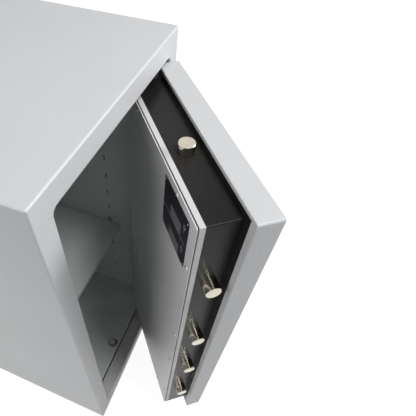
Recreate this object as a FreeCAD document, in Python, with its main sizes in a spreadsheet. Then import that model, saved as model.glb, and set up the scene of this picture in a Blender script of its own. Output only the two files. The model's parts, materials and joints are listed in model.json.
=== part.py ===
import FreeCAD
import Part
import math
import os
import re

# Steel security cabinet with a hinged bolt-work door, one shelf and a key lock.
#
# Places are first written for the closed door, in cabinet coordinates: x from the left outer face,
# y from the front plane towards the back and z up from the underside. at() moves them to the part's
# origin, the centre of the underside. Every piece of the door is then turned about the hinge axis.

doc = FreeCAD.newDocument("SecurityCabinet")

# Driving sizes, millimetres
sizes = {
    # cabinet body
    "bodyWidth": 400, "bodyHeight": 800, "bodyDepth": 400,
    "shellWall": 3, "foldRadius": 2.8,
    "frameBand": 35, "stileBand": 29, "rollRadius": 5, "rollBack": 2, "rollSide": 1, "cornerRadius": 8,
    "jambDepth": 34, "jambWall": 3,
    "linerWall": 2, "linerGap": 3, "linerFold": 1.5, "floorRise": 5, "rearCavity": 27, "fillFront": 80,
    "seatGap": 0.3, "cutOver": 1,
    # fixed shelf and its slotted rails
    "shelfTop": 327, "shelfSheet": 2, "shelfFront": 104.5, "shelfLip": 11, "shelfHem": 9,
    "shelfFold": 1.4, "shelfSideGap": 2.3, "shelfRearGap": 4, "lowerSlotCount": 4,
    "slotPitch": 50, "slotFirst": 130, "slotCount": 12, "slotTall": 14, "slotWide": 4,
    "slotFrontY": 134, "slotRearInset": 40,
    "clipSheet": 2, "clipTall": 18, "clipWide": 12, "clipReach": 12, "clipFit": 0.2, "hookTall": 11.7,
    # anchor holes and their plugs
    "anchorX": 200, "anchorY": 190, "anchorPitch": 130, "anchorRadius": 7,
    "wallAnchorPitch": 200, "wallAnchorHeight": 560,
    "plugRadius": 14, "plugRise": 2.5, "plugRound": 1.5, "plugFit": 0.2,
    # door slab
    "doorAngle": 38.56, "pivotInset": 12.5, "pivotY": 8,
    "doorGapFree": 2.5, "doorGapHinge": 3, "doorGapEnds": 4.6,
    "doorDepth": 32, "doorFront": 3, "doorWall": 2.5, "doorLip": 5, "doorLipFree": 11.5,
    "doorPlate": 4, "doorFold": 1.2, "doorCorner": 3, "sheetCorner": 2, "shaftGap": 0.5,
    # bolt box and its cover
    "boxGapFree": 21.7, "boxGapHinge": 16.8, "boxGapEnds": 13, "boxDepth": 43.6, "boxWall": 2.5,
    "flangeDepth": 7, "flangeWide": 22, "gasketDepth": 1.9, "gasketInset": 2.5, "coverSheet": 1.5,
    "screwRadius": 1.8, "screwHeadRadius": 3.3, "screwHeadRise": 1.8, "screwHeadRound": 1, "screwLength": 9,
    "screwInset": 8.6, "screwInner": 60, "screwOuter": 263.5, "screwEnds": 8.5, "screwRowInset": 60.3,
    "plateFree": 17, "plateTop": 12, "plateWide": 82.5, "plateTall": 83, "plateSheet": 0.8,
    "pressInset": 227.8, "pressRaise": 322.4, "pressWide": 10, "pressTall": 40, "pressRise": 0.6,
    "pressRound": 4.5,
    # bolts
    "boltRadius": 11, "boltY": 55, "boltFit": 0.35, "boltChamfer": 0.8, "boltHole": 13,
    "boltThrow": 22, "sideProtrude": 18, "topProtrude": 14, "bottomProtrude": 9,
    "boltInner": 70, "boltOuter": 230, "boltMiddle": 400, "sideBoltLength": 67,
    "endBoltInset": 118.8, "endBoltLength": 60,
    "socketWall": 1.5, "socketGap": 2, "keeperThick": 6, "keeperWide": 34, "keeperFront": 38,
    "endKeeperLong": 60,
    # drive: pinion, racks and rods
    "pinionInset": 96.8, "pinionTeeth": 14, "toothModule": 2, "toothTip": 1.6, "pressureAngle": 20,
    "rackTip": 1.4, "rackRoot": 2.5, "rackSink": 0.5, "rackLead": 8, "backlash": 0.7, 
    "pinionFront": 46, "pinionDepth": 21,
    "rodFront": 47, "rodDepth": 6, "rodWide": 11.5, "rackRun": 30,
    "plateFront": 60, "carriagePlate": 6, "carriageWide": 8, "carriageMargin": 22,
    "carriagePlateTall": 36, "carriagePlateLong": 76,
    "spindleRadius": 6, "spindleFit": 0.06, "spindleEnd": 4, "guideThick": 4, "guideSlotGap": 0.4,
    "sideGuideInset": 17, "sideGuideMargin": 25, "rodGuideOffset": 165, "rodGuideTall": 12,
    # lock
    "lockInset": 105.8, "lockRise": 105, "lockWide": 60, "lockTall": 68, "lockFront": 54, "lockDepth": 18,
    "keyRadius": 5.5, "lockBoltWide": 10, "lockBoltThick": 6, "lockBoltLong": 46,
    "lockThrow": 10, "lockClear": 0.5, "lockBoltOffset": 22, "notchGap": 0.5,
    "hardPlateMargin": 12, "hardPlateThick": 3, "postRadius": 3, "postInset": 6, "keyRecess": 0.5,
    "keywayWide": 2, "keywayInset": 1.5,
    # handle
    "bossRadius": 24, "bossRise": 4, "bossRound": 2, "hubRadius": 16, "hubRise": 20, "hubCap": 4,
    "hubRound": 4,
    "leverReach": 112, "leverRadius": 8, "leverTip": 6.5, "escutcheonRadius": 15,
    # hinge
    "hingeLow": 150, "hingeHigh": 650, "knuckleRadius": 4.4, "pinRadius": 2.5, "pinFit": 0.06,
    "armThick": 10, "armHalf": 3.8, "lugThick": 5, "lugGap": 0.4, "lugDepth": 12, "lugInset": 8,
    "armSlotGap": 1.2, "pinEnd": 1, "neckOut": 3, "neckRise": 12, "neckIn": 2, "neckTurn": 26, "neckRun": 14,
    "armReach": 24, "armBack": 31, "webInset": 3, "footLong": 40, "footThick": 5,
    "footScrewInset": 8, "footScrewRadius": 3, "footHeadRadius": 5.4, "footHeadRise": 3,
}

sheet = doc.addObject("Spreadsheet::Sheet", "Sizes")
for row, (alias, number) in enumerate(sizes.items(), start=1):
    sheet.set(f"A{row}", alias)
    sheet.set(f"B{row}", str(number))
    sheet.setAlias(f"B{row}", alias)
doc.recompute()

# names for places that several pieces share, in cabinet coordinates
places = {
    "openLeft": "frameBand",
    "openRight": "bodyWidth - stileBand",
    "openLow": "frameBand",
    "openHigh": "bodyHeight - frameBand",
    "floorTop": "frameBand + floorRise",
    "linerFront": "jambDepth + linerGap",
    "linerRear": "bodyDepth - shellWall - rearCavity",
    "doorLeft": "frameBand + doorGapFree",
    "doorRight": "bodyWidth - stileBand - doorGapHinge",
    "doorLow": "frameBand + doorGapEnds",
    "doorHigh": "bodyHeight - frameBand - doorGapEnds",
    "boxLeft": "frameBand + doorGapFree + boxGapFree",
    "boxRight": "bodyWidth - stileBand - doorGapHinge - boxGapHinge",
    "boxLow": "frameBand + doorGapEnds + boxGapEnds",
    "boxHigh": "bodyHeight - frameBand - doorGapEnds - boxGapEnds",
    "boxBack": "doorDepth + boxDepth",
    "pivotX": "bodyWidth - pivotInset",
    "slotRearY": "linerRear - slotRearInset",
    "endBoltX": "boxLeft + endBoltInset",
    "pinionX": "boxLeft + pinionInset",
    "lockX": "boxLeft + lockInset",
    "pressX": "boxLeft + pressInset",
    "pressZ": "boxLow + pressRaise",
    "coverFront": "doorDepth + boxDepth + flangeDepth + gasketDepth",
    "coverBack": "doorDepth + boxDepth + flangeDepth + gasketDepth + coverSheet",
    "pitchRadius": "toothModule * pinionTeeth / 2",
    "sideBoltInner": "frameBand + doorGapFree + boxGapFree - sideProtrude + sideBoltLength",
    "topBoltInner": "bodyHeight - frameBand - doorGapEnds - boxGapEnds + topProtrude - endBoltLength",
    "bottomBoltInner": "frameBand + doorGapEnds + boxGapEnds - bottomProtrude + endBoltLength",
    "lockZ": "boltMiddle + lockRise",
    "notchTop": "boltMiddle + pitchRadius + rackRoot + carriagePlateTall",
    "armTurnY": "pivotY + armBack",
    "footScrewFar": "boxRight - footLong + footScrewInset",
    "footScrewNear": "boxRight - footLong / 2 + footScrewInset / 2",
}


def link(text):
    """Turn shared places and size names into spreadsheet references."""
    text = str(text)
    while any(word in places for word in re.findall(r"[A-Za-z]\w*", text)):
        text = re.sub(r"[A-Za-z]\w*", lambda m: f"({places[m[0]]})" if m[0] in places else m[0], text)
    return re.sub(r"(?<![.\w])[A-Za-z]\w*", lambda m: f"Sizes.{m[0]}" if m[0] in sizes else m[0], text)


tiny = 1e-6  # two coordinates nearer than this are the same


def number(text):
    """Value of an expression over the sheet, for pieces that are drawn point by point."""
    return float(sheet.evalExpression(link(text)))


def at(obj, x, y, z):
    """Place an object at cabinet coordinates."""
    obj.setExpression("Placement.Base.x", link(f"{x} - bodyWidth / 2"))
    obj.setExpression("Placement.Base.y", link(f"{y} - bodyDepth / 2"))
    obj.setExpression("Placement.Base.z", link(z))
    return obj


def through(low, high):
    """Span of a cutting tool that runs clear of both faces."""
    return f"{low} - cutOver", f"{high} + cutOver"


def box(name, x, y, z):
    """Block between low and high cabinet coordinates, each pair written 'low, high'."""
    obj = doc.addObject("Part::Box", name)
    for side, (low, high) in zip(("Length", "Width", "Height"), (x, y, z)):
        obj.setExpression(side, link(f"({high}) - ({low})"))
    return at(obj, x[0], y[0], z[0])


turns = {
    "x": FreeCAD.Rotation(FreeCAD.Vector(0, 1, 0), 90),
    "y": FreeCAD.Rotation(FreeCAD.Vector(1, 0, 0), -90),
    "z": FreeCAD.Rotation(),
}


def rod(name, axis, radius, low, high, place):
    """Round bar along an axis from low to high; place gives the other two coordinates in order."""
    obj = doc.addObject("Part::Cylinder", name)
    obj.Placement.Rotation = turns[axis]
    obj.setExpression("Radius", link(radius))
    obj.setExpression("Height", link(f"({high}) - ({low})"))
    spot = list(place)
    spot.insert("xyz".index(axis), low)
    return at(obj, *spot)


def fuse(name, pieces):
    obj = doc.addObject("Part::MultiFuse", name)
    obj.Shapes = pieces
    return obj


def group(name, pieces):
    obj = doc.addObject("Part::Compound", name)
    obj.Links = pieces
    return obj


def cut(name, base, tools):
    obj = doc.addObject("Part::Cut", name)
    obj.Base = base
    obj.Tool = tools[0] if len(tools) == 1 else group(name + "Tools", tools)
    return obj


def soften(name, base, radius, choose, kind="Part::Fillet"):
    """Round or chamfer the edges of base that choose(edge) picks."""
    doc.recompute()
    obj = doc.addObject(kind, name)
    obj.Base = base
    picked = [i for i, edge in enumerate(base.Shape.Edges, start=1) if choose(edge)]
    size = number(radius)
    obj.Edges = [(i, size, size) for i in picked]
    return obj


def along(axis):
    """Choose straight edges parallel to an axis."""
    direction = FreeCAD.Vector(*(float(name == axis) for name in "xyz"))

    def choose(edge):
        return edge.Curve.TypeId == "Part::GeomLine" and edge.tangentAt(edge.FirstParameter).cross(
            direction).Length < tiny
    return choose


def edges_at(axis, place):
    """Choose the edges whose ends lie at a cabinet coordinate along an axis."""
    shift = {"x": "bodyWidth / 2", "y": "bodyDepth / 2", "z": "0"}[axis]
    level = number(f"({place}) - {shift}")

    def choose(edge):
        return all(abs(getattr(v.Point, axis) - level) < tiny for v in edge.Vertexes)
    return choose


def line_along_x(y, z):
    """Choose the straight edges along x at cabinet coordinates y and z."""
    corner_y = number(f"({y}) - bodyDepth / 2")
    corner_z = number(z)

    def choose(edge):
        return along("x")(edge) and all(
            abs(v.Point.y - corner_y) < tiny and abs(v.Point.z - corner_z) < tiny for v in edge.Vertexes)
    return choose


def rounded(name, x, y, z, axis, radius):
    return soften(name, box(name + "Block", x, y, z), radius, along(axis))


def ring(name, x, y, z, wall):
    """Rectangular frame open along y, with the same wall on all four sides."""
    outer = box(name + "Outer", x, y, z)
    inner = box(name + "Inner", (f"{x[0]} + {wall}", f"{x[1]} - {wall}"), through(*y),
                (f"{z[0]} + {wall}", f"{z[1]} - {wall}"))
    return cut(name + "Ring", outer, [inner])


def prism(name, points, low, high):
    """Flat outline pushed along y from low to high; points are cabinet x and z."""
    y = number(f"{low} - bodyDepth / 2")
    shift = number("bodyWidth / 2")
    corners = [FreeCAD.Vector(px - shift, y, pz) for px, pz in points]
    face = Part.Face(Part.makePolygon(corners + corners[:1]))
    solid = face.extrude(FreeCAD.Vector(0, number(f"({high}) - ({low})"), 0))
    obj = doc.addObject("Part::Feature", name)
    obj.Shape = solid
    return obj


subparts = {}


def finish(label, obj, on_door=False):
    """Name a sub-part; a piece of the door is turned about the hinge axis."""
    obj.Label = label
    if on_door:
        obj.setExpression("Placement", link(
            "placement(vector(0; 0; 0); rotation(vector(0; 0; 1); doorAngle);"
            " vector(pivotX - bodyWidth / 2; pivotY - bodyDepth / 2; 0))"))
    subparts[label] = obj
    return obj


side_bolt_heights = ["boltMiddle - boltOuter", "boltMiddle - boltInner",
                     "boltMiddle + boltInner", "boltMiddle + boltOuter"]
hinge_heights = ["hingeLow", "hingeHigh"]
slot_heights = [f"slotFirst + {k} * slotPitch" for k in range(int(sizes["slotCount"]))]
anchor_depths = ["anchorY", "anchorY + anchorPitch"]
foot_screws = ["footScrewFar", "footScrewNear"]
wall_anchors = ["bodyWidth / 2 - wallAnchorPitch / 2", "bodyWidth / 2 + wallAnchorPitch / 2"]


# Cabinet body
def outer_shell():
    """Folded steel casing: four walls, front band and the rolled jamb around the opening."""
    block = box("ShellBlock", ("0", "bodyWidth"), ("0", "bodyDepth"), ("0", "bodyHeight"))
    half = number("bodyDepth / 2")
    folded = soften("ShellFolded", block, "foldRadius", lambda e: along("y")(e) or (
        max(abs(v.Point.y + half) for v in e.Vertexes) < tiny))
    cavity = box("ShellCavity", ("shellWall", "bodyWidth - shellWall"), ("shellWall", "bodyDepth + cutOver"),
                 ("shellWall", "bodyHeight - shellWall"))
    casing = cut("ShellCasing", folded, [cavity])
    roll = box("Roll", ("openLeft - rollRadius - rollSide", "openRight + rollRadius + rollSide"),
               ("shellWall", "rollRadius + rollBack"),
               ("openLow - rollRadius - rollSide", "openHigh + rollRadius + rollSide"))
    jamb = box("Jamb", ("openLeft - jambWall", "openRight + jambWall"), ("shellWall", "jambDepth"),
               ("openLow - jambWall", "openHigh + jambWall"))
    window = rounded("Window", ("openLeft", "openRight"), through("0", "jambDepth"), ("openLow", "openHigh"),
                     "y", "cornerRadius")
    opened = cut("ShellOpened", fuse("ShellJoined", [casing, roll, jamb]), [window])

    def mouth(edge):
        inside = number("bodyWidth / 2 - frameBand / 2")
        return all(abs(v.Point.y + half) < tiny and abs(v.Point.x) < inside
                   and number("frameBand / 2") < v.Point.z < number("bodyHeight - frameBand / 2")
                   for v in edge.Vertexes)
    rolled = soften("ShellRolled", opened, "rollRadius", mouth)
    tools = [rod(f"AnchorCut{k}", "z", "anchorRadius", *through("0", "shellWall"), ("anchorX", y))
             for k, y in enumerate(anchor_depths)]
    for k, z in enumerate(hinge_heights):
        tools.append(box(f"JambSlot{k}", through("openRight", "openRight + rollRadius + rollSide"),
                         ("shellWall + seatGap", "jambDepth + cutOver"),
                         (f"{z} - armThick / 2 - armSlotGap", f"{z} + armThick / 2 + armSlotGap")))
    finish("outer_shell", cut("OuterShell", rolled, tools))


def rear_panel():
    panel = box("RearBlock", ("shellWall", "bodyWidth - shellWall"), ("bodyDepth - shellWall", "bodyDepth"),
                ("shellWall", "bodyHeight - shellWall"))
    holes = [rod(f"RearHole{k}", "y", "anchorRadius", *through("bodyDepth - shellWall", "bodyDepth"),
                 (x, "wallAnchorHeight")) for k, x in enumerate(wall_anchors)]
    finish("rear_panel", cut("RearPanel", panel, holes))


def wall_slots(name, low, high):
    return [box(f"{name}Slot{k}{column}", through(low, high),
                (f"{column} - slotWide / 2", f"{column} + slotWide / 2"),
                (f"{z} - slotTall / 2", f"{z} + slotTall / 2"))
            for k, z in enumerate(slot_heights) for column in ("slotFrontY", "slotRearY")]


def liners():
    """Inner walls, set behind the jamb; bolt holes on three sides and hinge notches on the fourth."""
    y = ("linerFront", "linerRear")
    left = box("LeftLiner", ("openLeft - linerWall", "openLeft"), y, ("floorTop", "openHigh"))
    holes = [rod(f"LeftHole{k}", "x", "boltHole", *through("openLeft - linerWall", "openLeft"), ("boltY", z))
             for k, z in enumerate(side_bolt_heights)]
    slots = wall_slots("Left", "openLeft - linerWall", "openLeft")
    finish("liner_left", cut("LinerLeft", left, holes + slots))
    right = box("RightLiner", ("openRight", "openRight + linerWall"), y, ("floorTop", "openHigh"))
    notches = [box(f"LinerNotch{k}", through("openRight", "openRight + linerWall"),
                   ("linerFront - cutOver", "armTurnY + armHalf + seatGap"),
                   (f"{z} - armThick / 2 - armSlotGap", f"{z} + armThick / 2 + armSlotGap"))
               for k, z in enumerate(hinge_heights)]
    slots = wall_slots("Right", "openRight", "openRight + linerWall")
    finish("liner_right", cut("LinerRight", right, notches + slots))
    x = ("openLeft - linerWall", "openRight + linerWall")
    top = box("TopLiner", x, y, ("openHigh", "openHigh + linerWall"))
    end_bolt = ("endBoltX", "boltY")
    finish("liner_top", cut("LinerTop", top, [
        rod("TopHole", "z", "boltHole", *through("openHigh", "openHigh + linerWall"), end_bolt)]))
    floor_z = ("floorTop - linerWall", "floorTop")
    floor = soften("FloorFolded", box("FloorLiner", x, y, floor_z), "linerFold",
                   line_along_x("linerFront", "floorTop"))
    holes = [rod(f"FloorHole{k}", "z", "anchorRadius", *through(*floor_z), ("anchorX", d))
             for k, d in enumerate(anchor_depths)]
    holes.append(rod("FloorBoltHole", "z", "boltHole", *through(*floor_z), end_bolt))
    finish("liner_floor", cut("LinerFloor", floor, holes))
    rear = box("RearLiner", x, ("linerRear", "linerRear + linerWall"),
               ("floorTop - linerWall", "openHigh + linerWall"))
    holes = [rod(f"RearLinerHole{k}", "y", "anchorRadius", *through("linerRear", "linerRear + linerWall"),
                 (px, "wallAnchorHeight")) for k, px in enumerate(wall_anchors)]
    finish("liner_rear", cut("LinerRear", rear, holes))


def barrier_fill():
    """Fire-resisting boards between casing and liner, from behind the bolt pockets to the rear."""
    back = "linerRear + linerWall"
    inner = ("shellWall", "bodyWidth - shellWall")
    left = box("FillLeft", ("shellWall", "openLeft - linerWall"), ("fillFront", back),
               ("floorTop - linerWall", "openHigh + linerWall"))
    right = box("FillRight", ("openRight + linerWall", "bodyWidth - shellWall"), ("fillFront", back),
                ("floorTop - linerWall", "openHigh + linerWall"))
    top = box("FillTop", inner, ("fillFront", back), ("openHigh + linerWall", "bodyHeight - shellWall"))
    base = box("FillBase", inner, ("fillFront", back), ("shellWall", "floorTop - linerWall"))
    base = cut("FillBaseBored", base, [
        rod(f"FillAnchor{k}", "z", "anchorRadius", "0", "floorTop", ("anchorX", y))
        for k, y in enumerate(anchor_depths)])
    rear = box("FillRear", inner, (back, "bodyDepth - shellWall"), ("shellWall", "bodyHeight - shellWall"))
    rear = cut("FillRearBored", rear, [rod(f"FillWall{k}", "y", "anchorRadius", "linerRear", "bodyDepth",
                                           (x, "wallAnchorHeight")) for k, x in enumerate(wall_anchors)])
    finish("barrier_fill", group("BarrierFill", [left, right, top, base, rear]))


def floor_socket(keeper_low):
    """Pressed cup under the floor's bolt hole, closed at the bottom."""
    low = "boxLow - bottomProtrude - boltThrow - socketWall - socketGap"
    cup = rod("SocketCup", "z", "boltHole + socketWall", low, keeper_low, ("endBoltX", "boltY"))
    well = rod("SocketWell", "z", "boltHole", f"{low} + socketWall", f"{keeper_low} + cutOver",
               ("endBoltX", "boltY"))
    return cut("SocketOpened", cup, [well])


def keepers():
    """Thick bolt keeper plates behind the liner."""
    y = ("keeperFront", "keeperFront + keeperWide")
    margin = "(sideGuideMargin + boltRadius)"
    side_x = ("openLeft - linerWall - keeperThick", "openLeft - linerWall")
    side = box("SideKeeperBlock", side_x, y,
               (f"boltMiddle - boltOuter - {margin}", f"boltMiddle + boltOuter + {margin}"))
    finish("side_keeper", cut("SideKeeper", side, [
        rod(f"KeeperHole{k}", "x", "boltHole", *through(*side_x), ("boltY", z))
        for k, z in enumerate(side_bolt_heights)]))
    x = ("endBoltX - endKeeperLong / 2", "endBoltX + endKeeperLong / 2")
    top = ("top_keeper", "openHigh + linerWall", "openHigh + linerWall + keeperThick")
    bottom = ("bottom_keeper", "floorTop - linerWall - keeperThick", "floorTop - linerWall")
    for label, low, high in (top, bottom):
        block = box(label + "_block", x, y, (low, high))
        tools = [rod(label + "_hole", "z", "boltHole", *through(low, high), ("endBoltX", "boltY"))]
        plate = cut(label + "_cut", block, tools)
        if label == "bottom_keeper":
            plate = fuse(label + "_joined", [plate, floor_socket(low)])
        finish(label, plate)


def shelf():
    """Bent steel tray: flat sheet, front lip and a short hem turned back under it."""
    x = ("openLeft + shelfSideGap", "openRight - shelfSideGap")
    front = "shelfFront"
    rear = "linerRear - shelfRearGap"
    deck = box("ShelfDeck", x, (front, rear), ("shelfTop - shelfSheet", "shelfTop"))
    lip = box("ShelfLip", x, (front, f"{front} + shelfSheet"), ("shelfTop - shelfLip", "shelfTop"))
    hem = box("ShelfHem", x, (front, f"{front} + shelfHem"),
              ("shelfTop - shelfLip", "shelfTop - shelfLip + shelfSheet"))
    back = box("ShelfBack", x, (f"{rear} - shelfSheet", rear), ("shelfTop - shelfLip", "shelfTop"))
    bent = fuse("ShelfBent", [deck, lip, hem, back])
    finish("shelf", soften("Shelf", bent, "shelfFold", line_along_x("shelfFront", "shelfTop")))


def shelf_clips():
    """Four clips hooked into the slots, each with a ledge under the shelf."""
    solids = []
    slot = "slotFirst + lowerSlotCount * slotPitch"
    under = "shelfTop - shelfSheet"
    for side, wall, out in (("L", "openLeft", "+"), ("R", "openRight", "-")):
        for column in ("slotFrontY", "slotRearY"):
            y = (f"{column} - clipWide / 2", f"{column} + clipWide / 2")

            def span(start, end):
                near = f"{wall} {out} ({start})"
                far = f"{wall} {out} ({end})"
                return (near, far) if out == "+" else (far, near)
            blade = box(f"ClipBlade{side}{column}", span("0", "clipSheet"), y,
                        (f"{under} - clipSheet", f"{under} - clipSheet + clipTall"))
            ledge = box(f"ClipLedge{side}{column}", span("0", "clipReach"), y,
                        (f"{under} - clipSheet", under))
            hook = box(f"ClipHook{side}{column}", span("0 - linerWall", "0"),
                       (f"{column} - slotWide / 2 + clipFit", f"{column} + slotWide / 2 - clipFit"),
                       (f"{slot} - slotTall / 2 + seatGap", f"{slot} - slotTall / 2 + seatGap + hookTall"))
            solids.append(fuse(f"Clip{side}{column}", [blade, ledge, hook]))
    finish("shelf_clips", group("ShelfClips", solids))


def anchor_plugs():
    """Low round caps over the anchor holes in the floor and the rear wall."""
    solids = []
    for k, y in enumerate(anchor_depths):
        cap = rod(f"PlugCap{k}", "z", "plugRadius", "floorTop", "floorTop + plugRise", ("anchorX", y))
        cap = soften(f"PlugRound{k}", cap, "plugRound", edges_at("z", "floorTop + plugRise"))
        stem = rod(f"PlugStem{k}", "z", "anchorRadius - plugFit", "floorTop - linerWall", "floorTop",
                   ("anchorX", y))
        solids.append(fuse(f"Plug{k}", [cap, stem]))
    for k, x in enumerate(wall_anchors):
        cap = rod(f"WallCap{k}", "y", "plugRadius", "linerRear - plugRise", "linerRear",
                  (x, "wallAnchorHeight"))
        stem = rod(f"WallStem{k}", "y", "anchorRadius - plugFit", "linerRear", "linerRear + linerWall",
                   (x, "wallAnchorHeight"))
        solids.append(fuse(f"WallPlug{k}", [cap, stem]))
    finish("anchor_plugs", group("AnchorPlugs", solids))


def hinges():
    """Concealed hinges: pins in lugs inside the hinge stile, gooseneck arms round the jamb."""
    lugs = []
    pins = []
    arms = []
    screws = []
    for k, z in enumerate(hinge_heights):
        top = f"{z} + armThick / 2"
        low = f"{z} - armThick / 2"
        for side, start, end in (("Up", f"{top} + lugGap", f"{top} + lugGap + lugThick"),
                                 ("Down", f"{low} - lugGap - lugThick", f"{low} - lugGap")):
            block = box(f"Lug{side}{k}", ("pivotX - lugInset", "bodyWidth - shellWall"),
                        ("shellWall", "pivotY + lugDepth"), (start, end))
            roll = box(f"LugRelief{side}{k}", ("0", "openRight + rollRadius + rollSide"),
                       ("0", "rollRadius + rollBack"), through(start, end))
            hole = rod(f"LugHole{side}{k}", "z", "pinRadius", *through(start, end), ("pivotX", "pivotY"))
            lugs.append(cut(f"Lug{side}Bored{k}", block, [roll, hole]))
        pins.append(rod(f"HingePin{k}", "z", "pinRadius", f"{low} - lugGap - lugThick - pinEnd",
                        f"{top} + lugGap + lugThick + pinEnd", ("pivotX", "pivotY")))
        arms.append(hinge_arm(k, low, top))
        for n, x in enumerate(foot_screws):
            shank = rod(f"ArmScrew{k}{n}", "y", "footScrewRadius", "doorDepth - doorPlate",
                        "doorDepth + footThick", (x, z))
            head = rod(f"ArmHead{k}{n}", "y", "footHeadRadius", "doorDepth + footThick",
                       "doorDepth + footThick + footHeadRise", (x, z))
            screws.append(fuse(f"ArmScrewWhole{k}{n}", [shank, head]))
    finish("hinge_lugs", group("HingeLugs", lugs))
    finish("hinge_pins", group("HingePins", pins))
    finish("hinge_arms", group("HingeArms", arms), on_door=True)
    finish("arm_screws", group("ArmScrews", screws), on_door=True)


def hinge_arm(k, low, top):
    """Flat gooseneck: an arc-cornered bar swept round the jamb, with a knuckle and a screwed foot."""
    path = [("0", "0"), ("neckOut", "neckRise"), ("0 - neckIn", "neckTurn"), ("0 - neckRun", "armBack"),
            ("0 - armReach", "armBack")]
    half = number("armHalf")
    shift_x = number("pivotX - bodyWidth / 2")
    shift_y = number("pivotY - bodyDepth / 2")
    z = number(low)
    points = [FreeCAD.Vector(shift_x + number(px), shift_y + number(py), z) for px, py in path]
    up = FreeCAD.Vector(0, 0, number(f"({top}) - ({low})"))
    body = Part.makeCylinder(number("knuckleRadius"), up.z, points[0])
    for start, end in zip(points, points[1:]):
        run = end - start
        side = FreeCAD.Vector(-run.y, run.x, 0).normalize() * half
        outline = [start + side, end + side, end - side, start - side, start + side]
        body = body.fuse(Part.Face(Part.makePolygon(outline)).extrude(up))
        body = body.fuse(Part.makeCylinder(half, up.z, end))
    seat = number("doorDepth - bodyDepth / 2")
    foot = Part.makeBox(number("footLong"), number("footThick"), up.z, FreeCAD.Vector(
        number("boxRight - footLong - bodyWidth / 2"), seat, z))
    web_start = "boxRight - boxWall - webInset"
    web_long = number(f"pivotX - armReach - ({web_start})")
    web_deep = number("armTurnY + armHalf - doorDepth")
    web = Part.makeBox(web_long, web_deep, up.z,
                       FreeCAD.Vector(number(f"{web_start} - bodyWidth / 2"), seat, z))
    over = FreeCAD.Vector(0, 0, number("cutOver"))
    bore = Part.makeCylinder(number("pinRadius + pinFit"), up.z + 2 * over.z, points[0] - over)
    body = body.fuse(foot).fuse(web).cut(bore)
    for x in foot_screws:
        start = FreeCAD.Vector(number(f"{x} - bodyWidth / 2"), seat - over.z, z + up.z / 2)
        reach = number("footThick + 2 * cutOver")
        body = body.cut(Part.makeCylinder(number("footScrewRadius"), reach, start, FreeCAD.Vector(0, 1, 0)))
    obj = doc.addObject("Part::Feature", f"HingeArm{k}")
    obj.Shape = body.removeSplitter()
    return obj


# Door
def door_holes(name, y):
    """Holes for the handle spindle and the key plug through a flat piece of the door."""
    return [rod(name + "SpindleHole", "y", "spindleRadius + shaftGap", *through(*y),
                ("pinionX", "boltMiddle")),
            rod(name + "KeyHole", "y", "keyRadius + shaftGap", *through(*y), ("lockX", "lockZ"))]


def door_slab():
    x = ("doorLeft", "doorRight")
    z = ("doorLow", "doorHigh")
    slab = rounded("SkinBlock", x, ("0", "doorDepth"), z, "y", "doorCorner")
    skin = soften("SkinFolded", slab, "doorFold", edges_at("y", "doorDepth"))
    pan = box("SkinCavity", ("doorLeft + doorWall", "doorRight - doorWall"),
              ("doorFront", "doorDepth - doorWall"), ("doorLow + doorWall", "doorHigh - doorWall"))
    inside_x = ("doorLeft + doorLipFree", "doorRight - doorLip")
    inside_z = ("doorLow + doorLip", "doorHigh - doorLip")
    window = box("SkinWindow", inside_x, through("doorDepth - doorWall", "doorDepth"), inside_z)
    finish("door_skin", cut("DoorSkin", skin, [pan, window] + door_holes("Skin", ("0", "doorFront"))), True)
    plate_front = "doorDepth - doorWall - doorPlate"
    plate = box("PlateBlock", ("doorLeft + doorWall + seatGap", "doorRight - doorWall - seatGap"),
                (plate_front, "doorDepth - doorWall"),
                ("doorLow + doorWall + seatGap", "doorHigh - doorWall - seatGap"))
    raised = box("PlateRaised", (f"{inside_x[0]} + seatGap", f"{inside_x[1]} - seatGap"),
                 ("doorDepth - doorWall", "doorDepth"),
                 (f"{inside_z[0]} + seatGap", f"{inside_z[1]} - seatGap"))
    holes = door_holes("Plate", (plate_front, "doorDepth"))
    for k, height in enumerate(hinge_heights):
        for n, px in enumerate(foot_screws):
            holes.append(rod(f"PlateScrewHole{k}{n}", "y", "footScrewRadius", "doorDepth - doorPlate",
                             "doorDepth + cutOver", (px, height)))
    finish("door_plate", cut("DoorPlate", fuse("DoorPlateJoined", [plate, raised]), holes), True)
    fill = box("DoorFillBlock", ("doorLeft + doorWall", "doorRight - doorWall"), ("doorFront", plate_front),
               ("doorLow + doorWall", "doorHigh - doorWall"))
    hard_x = ("lockX - lockWide / 2 - hardPlateMargin", "lockX + lockWide / 2 + hardPlateMargin")
    hard_y = ("doorFront", "doorFront + hardPlateThick")
    hard_z = ("lockZ - lockTall / 2 - hardPlateMargin", "lockZ + lockTall / 2 + hardPlateMargin")
    pocket = box("HardPocket", hard_x, ("doorFront - cutOver", hard_y[1]), hard_z)
    holes = door_holes("Fill", ("doorFront", plate_front))
    finish("door_fill", cut("DoorFill", fill, [pocket] + holes), True)
    finish("hard_plate", cut("HardPlate", box("HardBlock", hard_x, hard_y, hard_z), [
        rod("HardKeyHole", "y", "keyRadius + shaftGap", *through(*hard_y), ("lockX", "lockZ"))]), True)


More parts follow.
